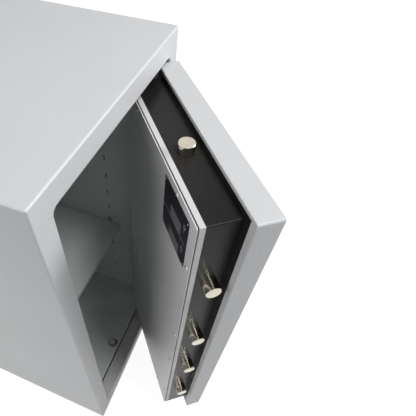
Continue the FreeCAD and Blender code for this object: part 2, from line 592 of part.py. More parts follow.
def bolt_box():
    """Welded box that carries the bolt work: four walls, open towards the door and the cover."""
    frame = ring("BoltBoxRing", ("boxLeft", "boxRight"), ("doorDepth", "boxBack"), ("boxLow", "boxHigh"),
                 "boxWall")
    rounded_box = soften("BoltBoxRounded", frame, "sheetCorner", lambda e: along("y")(e) and any(
        abs(e.Vertexes[0].Point.x - number(f"{x} - bodyWidth / 2")) < 1e-6 for x in ("boxLeft", "boxRight")))
    tools = [rod(f"BoxHole{k}", "x", "boltRadius + boltFit", *through("boxLeft", "boxLeft + boxWall"),
                 ("boltY", z)) for k, z in enumerate(side_bolt_heights)]
    for end, low, high in (("Top", "boxHigh - boxWall", "boxHigh"), ("Low", "boxLow", "boxLow + boxWall")):
        tools.append(rod(f"BoxHole{end}", "z", "boltRadius + boltFit", *through(low, high),
                         ("endBoltX", "boltY")))
    for k, z in enumerate(hinge_heights):
        tools.append(box(f"BoxArmSlot{k}", through("boxRight - boxWall", "boxRight"),
                         ("doorDepth - cutOver", "armTurnY + armHalf + seatGap"),
                         (f"{z} - armThick / 2 - seatGap", f"{z} + armThick / 2 + seatGap")))
    finish("bolt_box", cut("BoltBox", rounded_box, tools), True)


def screw_places():
    """Cover screws: four down each long side and two in each end row, alike about the middle."""
    spots = []
    for x in ("boxLeft + screwInset", "boxRight - screwInset"):
        for offset in ("screwInner", "screwOuter"):
            spots.append((x, f"boltMiddle - {offset}"))
            spots.append((x, f"boltMiddle + {offset}"))
    for z in ("boxHigh - screwEnds", "boxLow + screwEnds"):
        for x in ("boxLeft + screwRowInset", "boxRight - screwRowInset"):
            spots.append((x, z))
    return spots


def cover():
    x = ("boxLeft", "boxRight")
    z = ("boxLow", "boxHigh")
    flange_y = ("boxBack", "boxBack + flangeDepth")
    gasket_y = ("boxBack + flangeDepth", "coverFront")
    flange = ring("Flange", x, flange_y, z, "flangeWide")
    inset = ("boxLeft + gasketInset", "boxRight - gasketInset")
    inset_z = ("boxLow + gasketInset", "boxHigh - gasketInset")
    gasket = ring("Gasket", inset, gasket_y, inset_z, "(flangeWide - gasketInset)")
    sheet_block = rounded("CoverBlock", x, ("coverFront", "coverBack"), z, "y", "sheetCorner")
    press = rounded("CoverPress", ("pressX - pressWide / 2", "pressX + pressWide / 2"),
                    ("coverFront", "coverBack + pressRise"),
                    ("pressZ - pressTall / 2", "pressZ + pressTall / 2"), "y", "pressRound")
    pressed = fuse("CoverPressed", [sheet_block, press])
    for label, base in (("cover_frame", flange), ("cover_gasket", gasket), ("back_cover", pressed)):
        tools = [rod(f"{label}_hole{k}", "y", "screwRadius", *through("boxBack", "coverBack"), spot)
                 for k, spot in enumerate(screw_places())]
        finish(label, cut(label + "_bored", base, tools), True)
    screws = []
    for k, spot in enumerate(screw_places()):
        shank = rod(f"CoverShank{k}", "y", "screwRadius", "coverBack - screwLength", "coverBack", spot)
        head = rod(f"CoverHead{k}", "y", "screwHeadRadius", "coverBack", "coverBack + screwHeadRise", spot)
        domed = soften(f"CoverDome{k}", head, "screwHeadRound", edges_at("y", "coverBack + screwHeadRise"))
        screws.append(fuse(f"CoverScrew{k}", [shank, domed]))
    finish("cover_screws", group("CoverScrews", screws), True)
    left = "boxLeft + plateFree"
    high = "boxHigh - plateTop"
    plate = rounded("InstructionBlock", (left, f"{left} + plateWide"),
                    ("coverBack", "coverBack + plateSheet"), (f"{high} - plateTall", high), "y",
                    "sheetCorner")
    finish("instruction_plate", group("InstructionPlate", [plate]), True)


# Bolts and their drive
def tipped_bolt(name, axis, low, high, place, tip):
    """Round bolt with a small chamfer at its outer end."""
    bar = rod(name, axis, "boltRadius", low, high, place)
    return soften(name + "Tipped", bar, "boltChamfer", edges_at(axis, tip), "Part::Chamfer")


def rack_teeth(name, axis, line, start, end, toward, first, y):
    """Straight rack: teeth one pitch apart from 'first', pointing 'toward' the pinion."""
    pitch = math.pi * number("toothModule")
    half = pitch / 4 - number("backlash") / 2
    slope = math.tan(math.radians(number("pressureAngle")))
    tip = number("rackTip")
    root = number("rackRoot + rackSink")
    corners = [(-root, -half - root * slope), (tip, tip * slope - half), (tip, half - tip * slope),
               (-root, half + root * slope)]
    line = number(line)
    first = number(first)
    lowest = math.ceil((number(start) - first) / pitch)
    highest = math.floor((number(end) - first) / pitch)
    solids = []
    for k in range(lowest, highest + 1):
        middle = first + k * pitch
        points = [(line + toward * depth, middle + width) for depth, width in corners]
        if axis == "x":
            points = [(width, depth) for depth, width in points]
        solids.append(prism(f"{name}{k - lowest}", points, *y))
    return solids


def bolts():
    side_y = ("plateFront", "plateFront + carriagePlate")
    rod_y = ("rodFront", "rodFront + rodDepth")
    tips = "boxLeft - sideProtrude"
    finish("side_bolts", group("SideBolts", [
        tipped_bolt(f"SideBolt{k}", "x", tips, "sideBoltInner", ("boltY", z), tips)
        for k, z in enumerate(side_bolt_heights)]), True)
    bar = box("CarriageBar", ("sideBoltInner", "sideBoltInner + carriageWide"), ("rodFront", side_y[1]),
              ("boltMiddle - boltOuter - carriageMargin", "boltMiddle + boltOuter + carriageMargin"))
    plate_low = "boltMiddle + pitchRadius + rackRoot"
    plate_start = "sideBoltInner + carriageWide"
    plate = box("CarriagePlate", (plate_start, f"{plate_start} + carriagePlateLong"), side_y,
                (plate_low, "notchTop"))
    teeth = rack_teeth("CarriageTooth", "x", "boltMiddle + pitchRadius", "pinionX - rackLead",
                       "pinionX + rackRun", -1, "pinionX", side_y)
    notch_x = "lockX - lockBoltOffset"
    notches = [box(f"LockNotch{k}", (f"{notch_x} - lockBoltWide / 2 - notchGap + {k} * boltThrow",
                                     f"{notch_x} + lockBoltWide / 2 + notchGap + {k} * boltThrow"),
                   through(*side_y), ("notchTop - lockThrow - notchGap", "notchTop + cutOver"))
               for k in (0, 1)]
    finish("side_carriage", cut("SideCarriage", fuse("CarriageJoined", [bar, plate] + teeth), notches), True)

    top_tip = "boxHigh + topProtrude"
    end_bolt = ("endBoltX", "boltY")
    finish("top_bolt", group("TopBolt", [
        tipped_bolt("TopBoltBar", "z", "topBoltInner", top_tip, end_bolt, top_tip)]), True)
    right = "pinionX + pitchRadius + rackRoot"
    bar = box("TopRodBar", (right, f"{right} + rodWide"), rod_y, ("boltMiddle - rackRun", "topBoltInner"))
    pitch_half = "pi * toothModule / 2"
    teeth = rack_teeth("TopTooth", "z", "pinionX + pitchRadius", "boltMiddle - rackRun",
                       "boltMiddle + rackLead", -1, f"boltMiddle + {pitch_half}", rod_y)
    finish("top_rod", fuse("TopRod", [bar] + teeth), True)

    low_tip = "boxLow - bottomProtrude"
    finish("bottom_bolt", group("BottomBolt", [
        tipped_bolt("BottomBoltBar", "z", low_tip, "bottomBoltInner", end_bolt, low_tip)]), True)
    left = "pinionX - pitchRadius - rackRoot"
    bar = box("BottomRodBar", (f"{left} - rodWide", left), rod_y,
              ("bottomBoltInner", "boltMiddle + rackRun"))
    foot = box("BottomRodFoot", (f"{left} - rodWide", "endBoltX + boltRadius"), rod_y,
               ("bottomBoltInner", "bottomBoltInner + rodWide"))
    teeth = rack_teeth("BottomTooth", "z", "pinionX - pitchRadius", "boltMiddle - rackLead",
                       "boltMiddle + rackRun", 1, f"boltMiddle + {pitch_half}", rod_y)
    finish("bottom_rod", fuse("BottomRod", [bar, foot] + teeth), True)


def involute(radius_base, radius):
    """Polar angle of an involute at a radius."""
    return math.sqrt((radius / radius_base) ** 2 - 1) - math.acos(radius_base / radius)


def pinion():
    """Spur pinion with thinned involute teeth; one tooth points along +x at rest."""
    count = int(number("pinionTeeth"))
    pitch_radius = number("pitchRadius")
    base = pitch_radius * math.cos(math.radians(number("pressureAngle")))
    tip = pitch_radius + number("toothTip")
    root = pitch_radius - number("rackRoot")
    half = (math.pi / 2 - number("backlash") / number("toothModule")) / count
    centre_x, centre_z = number("pinionX"), number("boltMiddle")
    flank = []
    start = max(base, root)
    steps = 4
    for step in range(steps + 1):
        radius = start + (tip - start) * step / steps
        flank.append((radius, half + involute(base, pitch_radius) - involute(base, radius)))
    flank.insert(0, (root, flank[0][1]))
    points = []
    for k in range(count):
        middle = 2 * math.pi * k / count
        tooth = [(r, middle - a) for r, a in flank] + [(r, middle + a) for r, a in reversed(flank)]
        points += [(centre_x + r * math.cos(a), centre_z + r * math.sin(a)) for r, a in tooth]
    gear = prism("PinionBlank", points, "pinionFront", "pinionFront + pinionDepth")
    finish("drive_pinion", cut("DrivePinion", gear, [
        rod("PinionBore", "y", "spindleRadius", *through("pinionFront", "pinionFront + pinionDepth"),
            ("pinionX", "boltMiddle"))]), True)


def guides():
    x = ("boxLeft + sideGuideInset", "boxLeft + sideGuideInset + guideThick")
    strip = box("SideGuideBlock", x, ("doorDepth", "boxBack"), ("boltMiddle - boltOuter - sideGuideMargin",
                                                                "boltMiddle + boltOuter + sideGuideMargin"))
    finish("side_bolt_guide", cut("SideBoltGuide", strip, [
        rod(f"GuideHole{k}", "x", "boltRadius + boltFit", *through(*x), ("boltY", z))
        for k, z in enumerate(side_bolt_heights)]), True)
    solids = []
    right = "pinionX + pitchRadius + rackRoot"
    left = "pinionX - pitchRadius - rackRoot - rodWide"
    for name, start, low in (("Top", right, "boltMiddle + rodGuideOffset"),
                             ("Low", left, "boltMiddle - rodGuideOffset")):
        block = box(f"RodGuide{name}", (f"{start} - 2 * guideThick", f"{start} + rodWide + 2 * guideThick"),
                    ("doorDepth", "rodFront + rodDepth + guideThick"), (low, f"{low} + rodGuideTall"))
        slot = box(f"RodGuideSlot{name}", (f"{start} - guideSlotGap", f"{start} + rodWide + guideSlotGap"),
                   ("rodFront - guideSlotGap", "rodFront + rodDepth + guideSlotGap"),
                   through(low, f"{low} + rodGuideTall"))
        solids.append(cut(f"RodGuide{name}Slotted", block, [slot]))
    finish("rod_guides", group("RodGuides", solids), True)


def lock():
    y = ("lockFront", "lockFront + lockDepth")
    x = ("lockX - lockWide / 2", "lockX + lockWide / 2")
    z = ("lockZ - lockTall / 2", "lockZ + lockTall / 2")
    case = rounded("LockBlock", x, y, z, "y", "sheetCorner")
    bolt_x = "lockX - lockBoltOffset"
    low = "notchTop + lockClear"
    channel = box("LockChannel", (f"{bolt_x} - lockBoltWide / 2 - guideSlotGap",
                                  f"{bolt_x} + lockBoltWide / 2 + guideSlotGap"),
                  ("plateFront - guideSlotGap", "plateFront + lockBoltThick + guideSlotGap"),
                  (f"{z[0]} - cutOver", f"{low} + lockBoltLong + guideSlotGap"))
    bore = rod("LockBore", "y", "keyRadius + spindleFit", *through(*y), ("lockX", "lockZ"))
    near, far = f"{x[0]} + postInset", f"{x[1]} - postInset"
    bottom, top = f"{z[0]} + postInset", f"{z[1]} - postInset"
    posts = [rod(f"LockPost{k}", "y", "postRadius", "doorDepth", y[0], spot)
             for k, spot in enumerate(((near, top), (far, top), (far, bottom)))]
    finish("lock_case", fuse("LockCase", [cut("LockCaseBored", case, [channel, bore])] + posts), True)
    bolt = box("LockBoltBlock", (f"{bolt_x} - lockBoltWide / 2", f"{bolt_x} + lockBoltWide / 2"),
               ("plateFront", "plateFront + lockBoltThick"), (low, f"{low} + lockBoltLong"))
    finish("lock_bolt", group("LockBolt", [bolt]), True)
    plug = rod("KeyPlugBar", "y", "keyRadius", "0 - bossRise + keyRecess", y[1], ("lockX", "lockZ"))
    keyway = box("Keyway", ("lockX - keywayWide / 2", "lockX + keywayWide / 2"),
                 ("0 - bossRise - cutOver", "doorDepth"),
                 ("lockZ - keyRadius + keywayInset", "lockZ + keyRadius - keywayInset"))
    finish("key_plug", cut("KeyPlug", plug, [keyway]), True)
    disc = rod("EscutcheonDisc", "y", "escutcheonRadius", "0 - bossRise", "0", ("lockX", "lockZ"))
    disc = soften("EscutcheonRound", disc, "bossRound", edges_at("y", "0 - bossRise"))
    finish("key_escutcheon", cut("KeyEscutcheon", disc, [
        rod("EscutcheonBore", "y", "keyRadius + spindleFit", *through("0 - bossRise", "0"),
            ("lockX", "lockZ"))]), True)


def handle():
    """Turning lever in front of the door on the spindle of the pinion; it hangs down when open."""
    axis = ("pinionX", "boltMiddle")
    boss = rod("BossDisc", "y", "bossRadius", "0 - bossRise", "0", axis)
    boss = soften("BossRound", boss, "bossRound", edges_at("y", "0 - bossRise"))
    finish("handle_boss", cut("HandleBoss", boss, [
        rod("BossBore", "y", "spindleRadius + spindleFit", *through("0 - bossRise", "0"), axis)]), True)
    cap = "0 - bossRise - hubRise + hubCap"
    spindle = rod("SpindleBar", "y", "spindleRadius", cap, "pinionFront + pinionDepth + spindleEnd", axis)
    finish("handle_spindle", group("HandleSpindle", [spindle]), True)
    hub_front = "0 - bossRise - hubRise - seatGap"
    hub = rod("HandleHub", "y", "hubRadius", hub_front, "0 - bossRise - seatGap", axis)
    hub = soften("HandleHubRound", hub, "hubRound", edges_at("y", hub_front))
    lever = doc.addObject("Part::Cone", "LeverBar")
    lever.setExpression("Radius1", link("leverTip"))
    lever.setExpression("Radius2", link("leverRadius"))
    lever.setExpression("Height", link("leverReach - leverTip"))
    middle = "0 - bossRise - seatGap - hubRise / 2"
    at(lever, "pinionX", middle, "boltMiddle - leverReach + leverTip")
    tip = doc.addObject("Part::Sphere", "LeverTip")
    tip.setExpression("Radius", link("leverTip"))
    at(tip, "pinionX", middle, "boltMiddle - leverReach + leverTip")
    bored = rod("HubBore", "y", "spindleRadius", cap, "cutOver", axis)
    finish("handle_lever", cut("HandleLever", fuse("HandleJoined", [hub, lever, tip]), [bored]), True)


for make in (outer_shell, rear_panel, liners, barrier_fill, keepers, shelf, shelf_clips, anchor_plugs,
             hinges, door_slab, bolt_box, cover, bolts, pinion, guides, lock, handle):
    make()
doc.recompute()

# Check and write
for obj in doc.Objects:
    if any(flag in obj.State for flag in ("Invalid", "Error")):
        raise RuntimeError(f"{obj.Label} did not rebuild: {obj.State}")
for label, obj in subparts.items():
    if obj.Shape.isNull() or not obj.Shape.isValid() or not obj.Shape.Solids:
        raise RuntimeError(f"{label} has no valid solid")
os.makedirs("parts", exist_ok=True)
for label, obj in subparts.items():
    obj.Shape.exportStep(f"parts/{label}.step")
    print(label, len(obj.Shape.Solids), round(obj.Shape.Volume))
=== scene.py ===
import bpy
import bmesh
import json
import math
from mathutils import Matrix, Vector


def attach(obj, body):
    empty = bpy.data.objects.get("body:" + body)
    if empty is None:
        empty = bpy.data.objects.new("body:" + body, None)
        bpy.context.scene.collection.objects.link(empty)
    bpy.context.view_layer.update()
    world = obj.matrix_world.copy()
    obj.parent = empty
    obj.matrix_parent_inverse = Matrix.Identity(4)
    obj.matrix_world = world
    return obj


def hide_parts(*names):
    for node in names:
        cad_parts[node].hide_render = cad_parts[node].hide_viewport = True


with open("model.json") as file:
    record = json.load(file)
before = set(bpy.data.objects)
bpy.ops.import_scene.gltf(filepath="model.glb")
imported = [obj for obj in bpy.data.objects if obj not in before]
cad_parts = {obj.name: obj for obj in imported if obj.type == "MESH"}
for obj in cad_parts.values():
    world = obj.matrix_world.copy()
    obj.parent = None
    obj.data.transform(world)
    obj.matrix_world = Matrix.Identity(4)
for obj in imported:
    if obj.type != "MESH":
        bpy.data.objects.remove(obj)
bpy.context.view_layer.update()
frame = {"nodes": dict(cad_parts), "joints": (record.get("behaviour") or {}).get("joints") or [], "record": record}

# Steel security cabinet: paint, plated bolts, screws, printed plate, soft studio.

scene = bpy.context.scene
nodes = frame["nodes"]

doorJoint = next(j for j in frame["joints"] if j["name"] == "door_swing")
doorAngle = math.radians(-doorJoint["range_deg"][0])  # how far the stored door stands open
hingeLine = Vector(doorJoint["pos_m"])
doorTurn = (Matrix.Translation(hingeLine) @ Matrix.Rotation(doorAngle, 4, "Z")
            @ Matrix.Translation(-hingeLine))


def closedBox(name):
    # corners of a door node as if the door were shut
    back = doorTurn.inverted()
    spots = [back @ v.co for v in nodes[name].data.vertices]
    return (Vector([min(p[i] for p in spots) for i in range(3)]),
            Vector([max(p[i] for p in spots) for i in range(3)]))


# Finishes, one for each material slot.

skin = {
    "cloudScale": 5.0, "cloudDetail": 3.0, "grainDetail": 2.0, "softDetail": 3.0, "lineDetail": 3.0,
    "noiseLow": 0.3, "noiseHigh": 0.7,
    "paintSpread": 0.05, "paintBump": 0.25,
    "metalSpread": 0.06, "metalBump": 0.2, "metalDark": 0.93, "metalLight": 1.05,
    "softBelow": 0.08, "softAbove": 0.05, "softBump": 0.4, "softDepth": 0.0002,
    "softDark": 0.88, "softLight": 1.1,
}


def startMaterial(name):
    material = bpy.data.materials.new(name)
    material.use_nodes = True
    tree = material.node_tree
    tree.nodes.clear()
    output = tree.nodes.new("ShaderNodeOutputMaterial")
    shader = tree.nodes.new("ShaderNodeBsdfPrincipled")
    coord = tree.nodes.new("ShaderNodeTexCoord")
    tree.links.new(shader.outputs["BSDF"], output.inputs["Surface"])
    return material, tree, shader, coord


def addNoise(tree, vector, scale, detail):
    noise = tree.nodes.new("ShaderNodeTexNoise")
    noise.inputs["Scale"].default_value = scale
    noise.inputs["Detail"].default_value = detail
    tree.links.new(vector, noise.inputs["Vector"])
    return noise.outputs["Fac"]


def addRange(tree, value, low, high):
    remap = tree.nodes.new("ShaderNodeMapRange")
    remap.inputs["From Min"].default_value = skin["noiseLow"]
    remap.inputs["From Max"].default_value = skin["noiseHigh"]
    remap.inputs["To Min"].default_value = low
    remap.inputs["To Max"].default_value = high
    tree.links.new(value, remap.inputs["Value"])
    return remap.outputs["Result"]


def tint(colour, factor):
    return tuple(min(1.0, c * factor) for c in colour)


def addColour(tree, shader, noise, colour, dark, light):
    # base colour between two tints of one colour
    mix = tree.nodes.new("ShaderNodeMix")
    mix.data_type = "RGBA"
    mix.inputs["A"].default_value = (*tint(colour, dark), 1)
    mix.inputs["B"].default_value = (*tint(colour, light), 1)
    tree.links.new(addRange(tree, noise, 0, 1), mix.inputs["Factor"])
    tree.links.new(mix.outputs["Result"], shader.inputs["Base Color"])


def addGloss(tree, shader, noise, low, high):
    tree.links.new(addRange(tree, noise, low, high), shader.inputs["Roughness"])


def addBump(tree, shader, height, strength, distance):
    bump = tree.nodes.new("ShaderNodeBump")
    bump.inputs["Strength"].default_value = strength
    bump.inputs["Distance"].default_value = distance
    tree.links.new(height, bump.inputs["Height"])
    tree.links.new(bump.outputs["Normal"], shader.inputs["Normal"])


def stretched(tree, coord, scale):
    mapping = tree.nodes.new("ShaderNodeMapping")
    mapping.inputs["Scale"].default_value = scale
    tree.links.new(coord.outputs["Object"], mapping.inputs["Vector"])
    return mapping.outputs["Vector"]


def paint(name, colour, roughness=0.42, peel=900.0, peelDepth=0.00012, mottle=0.03, shine=0.5):
    # sprayed and baked paint: faint cloudiness and fine orange peel
    material, tree, shader, coord = startMaterial(name)
    cloud = addNoise(tree, coord.outputs["Object"], skin["cloudScale"], skin["cloudDetail"])
    addColour(tree, shader, cloud, colour, 1 - mottle, 1 + mottle)
    grain = addNoise(tree, coord.outputs["Object"], peel, skin["grainDetail"])
    addGloss(tree, shader, grain, roughness - skin["paintSpread"], roughness + skin["paintSpread"])
    addBump(tree, shader, grain, skin["paintBump"], peelDepth)
    shader.inputs["Specular IOR Level"].default_value = shine
    return material


def metal(name, colour, roughness=0.3, grain=(60, 60, 900), depth=0.00005):
    # rolled or plated metal, with fine lines across the axis of the largest grain scale
    material, tree, shader, coord = startMaterial(name)
    shader.inputs["Metallic"].default_value = 1.0
    lines = addNoise(tree, stretched(tree, coord, grain), 1.0, skin["lineDetail"])
    addColour(tree, shader, lines, colour, skin["metalDark"], skin["metalLight"])
    addGloss(tree, shader, lines, roughness - skin["metalSpread"], roughness + skin["metalSpread"])
    addBump(tree, shader, lines, skin["metalBump"], depth)
    return material


def soft(name, colour, roughness, scale=400.0):
    # rubber, plastic, board and ink: matt with a fine skin
    material, tree, shader, coord = startMaterial(name)
    grain = addNoise(tree, coord.outputs["Object"], scale, skin["softDetail"])
    addColour(tree, shader, grain, colour, skin["softDark"], skin["softLight"])
    addGloss(tree, shader, grain, roughness - skin["softBelow"], roughness + skin["softAbove"])
    addBump(tree, shader, grain, skin["softBump"], skin["softDepth"])
    return material


finishes = {
    "casing_paint": paint("casingPaint", (0.57, 0.58, 0.59), peel=260.0, peelDepth=0.0010),
    "door_paint": paint("doorPaint", (0.57, 0.58, 0.59), peel=260.0, peelDepth=0.0010),
    "interior_paint": paint("interiorPaint", (0.68, 0.70, 0.70), 0.36),
    "cover_paint": paint("coverPaint", (0.64, 0.64, 0.645), 0.36),
    "black_powder_coat": paint("blackPowder", (0.0155, 0.0147, 0.0139), 0.31, peel=650.0,
                               peelDepth=0.00045, mottle=0.3, shine=0.14),
    "black_plate": paint("blackPlate", (0.007, 0.007, 0.011), 0.40, peel=600.0,
                         peelDepth=0.00005, mottle=0.1, shine=0.18),
    # the board behind the wall slots is dark grey as painted shade, so the slots read as shadowed holes
    "barrier_board": soft("barrierBoardSlotShade", (0.24, 0.24, 0.235), 0.9, 120.0),
    "plain_steel": metal("plainSteel", (0.42, 0.42, 0.43), 0.4),
    "zinc_steel": metal("zincSteel", (0.46, 0.47, 0.48), 0.30),
    "nickel": metal("nickelPlate", (0.62, 0.575, 0.48), 0.11, grain=(40, 40, 40), depth=0.00001),
    "satin_chrome": metal("satinChrome", (0.50, 0.51, 0.52), 0.27),
    "gasket_rubber": soft("gasketRubber", (0.012, 0.012, 0.012), 0.8),
    "dark_plastic": soft("darkPlastic", (0.05, 0.05, 0.052), 0.45),
}
printGrey = soft("printGrey", (0.13, 0.13, 0.145), 0.5)
printPale = soft("printPale", (0.32, 0.33, 0.35), 0.5)

slotOf = {s["node"]: s["material_slot"] for s in frame["record"]["subparts"]}
for name, obj in nodes.items():
    obj.data.materials.clear()
    obj.data.materials.append(finishes[slotOf[name]])
print("stage 1: finishes on", len(nodes), "parts")


# Pieces on the back cover, built as if the door were shut, then turned with it.

def addPiece(name, mesh, body, slotName, material, *replaced):
    piece = bpy.data.objects.new(name, mesh)
    scene.collection.objects.link(piece)
    if material:
        mesh.materials.append(material)
    if replaced:
        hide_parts(*replaced)
    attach(piece, body)
    return piece


def addBlock(bm, low, high):
    made = bmesh.ops.create_cube(bm, size=1.0)["verts"]
    for vert in made:
        vert.co = Vector([(low[i] + high[i]) / 2 + vert.co[i] * (high[i] - low[i])
                          for i in range(3)])


def addRing(bm, x, z, front, back, outer, inner, count):
    # flat ring in the cover's plane
    loops = []
    for y in (front, back):
        for radius in (outer, inner):
            loops.append([bm.verts.new((x + radius * math.cos(math.tau * k / count), y,
                                        z + radius * math.sin(math.tau * k / count)))
                          for k in range(count)])
    for a, b in ((0, 1), (1, 3), (3, 2), (2, 0)):
        for k in range(count):
            n = (k + 1) % count
            bm.faces.new((loops[a][k], loops[a][n], loops[b][n], loops[b][k]))


def turnedMesh(name, bm):
    bmesh.ops.recalc_face_normals(bm, faces=bm.faces)
    bmesh.ops.transform(bm, matrix=doorTurn, verts=bm.verts)
    mesh = bpy.data.meshes.new(name)
    bm.to_mesh(mesh)
    bm.free()
    return mesh


plateLow, plateHigh = closedBox("instruction_plate")

fields = {
    "sink": 0.00005, "rise": 0.00012,
    "boxes": ((0.0205, 0.0400, 0.0560, 0.0590), (0.0205, 0.0020, 0.0560, 0.0190)),
}


def makeFields():
    bm = bmesh.new()
    for x0, z0, x1, z1 in fields["boxes"]:
        addBlock(bm, (plateLow.x + x0, plateHigh.y - fields["sink"], plateLow.z + z0),
                 (plateLow.x + x1, plateHigh.y + fields["rise"], plateLow.z + z1))
    addPiece("plateFields", turnedMesh("plateFields", bm), "door", "black_plate", printGrey)


marks = {
    "sink": 0.00005, "rise": 0.00012, "edge": 0.0032, "ruleHeight": 0.0388, "ruleWide": 0.0007,
    "symbols": ((0.0105, 0.0660), (0.0110, 0.0255)), "ringOuter": 0.0030, "ringInner": 0.0019,
    "ringSides": 32, "barLong": 0.0052, "barWide": 0.0011, "barGap": 0.0004,
}


def makeMarks():
    # a dividing rule, and a plain ring with a bar for each of the two turning parts
    bm = bmesh.new()
    y0, y1 = plateHigh.y - marks["sink"], plateHigh.y + marks["rise"]
    rule = plateLow.z + marks["ruleHeight"]
    addBlock(bm, (plateLow.x + marks["edge"], y0, rule),
             (plateHigh.x - marks["edge"], y1, rule + marks["ruleWide"]))
    for x, z in marks["symbols"]:
        cx, cz = plateLow.x + x, plateLow.z + z
        addRing(bm, cx, cz, y0, y1, marks["ringOuter"], marks["ringInner"], marks["ringSides"])
        start = cz - marks["ringOuter"] - marks["barGap"]
        addBlock(bm, (cx - marks["barWide"] / 2, y0, start - marks["barLong"]),
                 (cx + marks["barWide"] / 2, y1, start))
    addPiece("plateMarks", turnedMesh("plateMarks", bm), "door", "black_plate", printPale)


makeFields()
makeMarks()
print("stage 2: print on the plate")


# Screw heads: one tree places a domed head with a six-sided recess at each point.

domeShape = {"segments": 32, "rings": 24, "recessSides": 6}


def linkNodes(tree, pairs):
    for source, target in pairs:
        tree.links.new(source, target)


def headTree():
    tree = bpy.data.node_groups.new("headTree", "GeometryNodeTree")
    face = tree.interface
    face.new_socket(name="Geometry", in_out="INPUT", socket_type="NodeSocketGeometry")
    for label in ("Head Radius", "Head Rise", "Recess Radius", "Recess Depth"):
        face.new_socket(name=label, in_out="INPUT", socket_type="NodeSocketFloat")
    face.new_socket(name="Facing", in_out="INPUT", socket_type="NodeSocketVector")
    face.new_socket(name="Seed", in_out="INPUT", socket_type="NodeSocketInt")
    face.new_socket(name="Finish", in_out="INPUT", socket_type="NodeSocketMaterial")
    face.new_socket(name="Geometry", in_out="OUTPUT", socket_type="NodeSocketGeometry")
    make = tree.nodes.new
    given, result = make("NodeGroupInput"), make("NodeGroupOutput")

    def maths(kind, a, b):
        node = make("ShaderNodeMath")
        node.operation = kind
        for slot, value in zip(node.inputs, (a, b)):
            if isinstance(value, float):
                slot.default_value = value
            else:
                tree.links.new(value, slot)
        return node.outputs[0]

    def lifted(shape, height):
        move, place = make("GeometryNodeTransform"), make("ShaderNodeCombineXYZ")
        linkNodes(tree, ((shape, move.inputs["Geometry"]), (height, place.inputs["Z"]),
                         (place.outputs[0], move.inputs["Translation"])))
        return move.outputs["Geometry"]

    radius, rise = given.outputs["Head Radius"], given.outputs["Head Rise"]
    ball = make("GeometryNodeMeshUVSphere")
    ball.inputs["Segments"].default_value = domeShape["segments"]
    ball.inputs["Rings"].default_value = domeShape["rings"]
    ball.inputs["Radius"].default_value = 1.0
    squeeze, sizes = make("GeometryNodeTransform"), make("ShaderNodeCombineXYZ")
    linkNodes(tree, ((radius, sizes.inputs["X"]), (radius, sizes.inputs["Y"]),
                     (rise, sizes.inputs["Z"]), (sizes.outputs[0], squeeze.inputs["Scale"]),
                     (ball.outputs["Mesh"], squeeze.inputs["Geometry"])))
    below = make("GeometryNodeMeshCube")
    wide = maths("MULTIPLY", radius, 4.0)
    span = make("ShaderNodeCombineXYZ")
    linkNodes(tree, ((wide, span.inputs["X"]), (wide, span.inputs["Y"]),
                     (wide, span.inputs["Z"]), (span.outputs[0], below.inputs["Size"])))
    recess = make("GeometryNodeMeshCylinder")
    recess.inputs["Vertices"].default_value = domeShape["recessSides"]
    depth = maths("MULTIPLY", given.outputs["Recess Depth"], 2.0)
    linkNodes(tree, ((given.outputs["Recess Radius"], recess.inputs["Radius"]),
                     (depth, recess.inputs["Depth"])))
    sunk = maths("MULTIPLY", wide, -0.5)
    cutter = make("GeometryNodeMeshBoolean")
    cutter.operation = "DIFFERENCE"
    cutter.solver = "EXACT"
    linkNodes(tree, ((squeeze.outputs["Geometry"], cutter.inputs[0]),
                     (lifted(below.outputs["Mesh"], sunk), cutter.inputs[1]),
                     (lifted(recess.outputs["Mesh"], rise), cutter.inputs[1])))
    spread = make("GeometryNodeInstanceOnPoints")
    turn = make("FunctionNodeRandomValue")
    turn.data_type = "FLOAT"
    turn.inputs["Max"].default_value = math.tau
    roll = make("ShaderNodeCombineXYZ")
    spin = make("GeometryNodeRotateInstances")
    realize, paintIt = make("GeometryNodeRealizeInstances"), make("GeometryNodeSetMaterial")
    linkNodes(tree, ((given.outputs["Geometry"], spread.inputs["Points"]),
                     (cutter.outputs[0], spread.inputs["Instance"]),
                     (given.outputs["Facing"], spread.inputs["Rotation"]),
                     (given.outputs["Seed"], turn.inputs["Seed"]),
                     (turn.outputs["Value"], roll.inputs["Z"]),
                     (roll.outputs[0], spin.inputs["Rotation"]),
                     (spread.outputs["Instances"], spin.inputs["Instances"]),
                     (spin.outputs["Instances"], realize.inputs["Geometry"]),
                     (realize.outputs["Geometry"], paintIt.inputs["Geometry"]),
                     (given.outputs["Finish"], paintIt.inputs["Material"]),
                     (paintIt.outputs["Geometry"], result.inputs["Geometry"])))
    return tree


heads = headTree()


def growHeads(name, spots, sizes, finish):
    # evaluates the tree on the points and keeps the plain mesh
    seedMesh = bpy.data.meshes.new(name + "Points")
    seedMesh.from_pydata([tuple(p) for p in spots], [], [])
    holder = bpy.data.objects.new(name + "Points", seedMesh)
    scene.collection.objects.link(holder)
    modifier = holder.modifiers.new("heads", "NODES")
    modifier.node_group = heads
    ids = {item.name: item.identifier
           for item in heads.interface.items_tree if item.in_out == "INPUT"}
    for label, value in (("Head Radius", sizes["radius"]), ("Head Rise", sizes["rise"]),
                         ("Recess Radius", sizes["recess"]), ("Recess Depth", sizes["depth"]),
                         ("Facing", facing), ("Seed", sizes["seed"]), ("Finish", finish)):
        modifier[ids[label]] = value
    depsgraph = bpy.context.evaluated_depsgraph_get()
    mesh = bpy.data.meshes.new_from_object(holder.evaluated_get(depsgraph))
    holder.modifiers.remove(modifier)
    bpy.data.objects.remove(holder)
    mesh.name = name
    return mesh


facing = (-math.pi / 2, 0, doorAngle)
coverScrews = {"radius": 0.0033, "rise": 0.0018, "recess": 0.0021, "depth": 0.0013, "seed": 7}


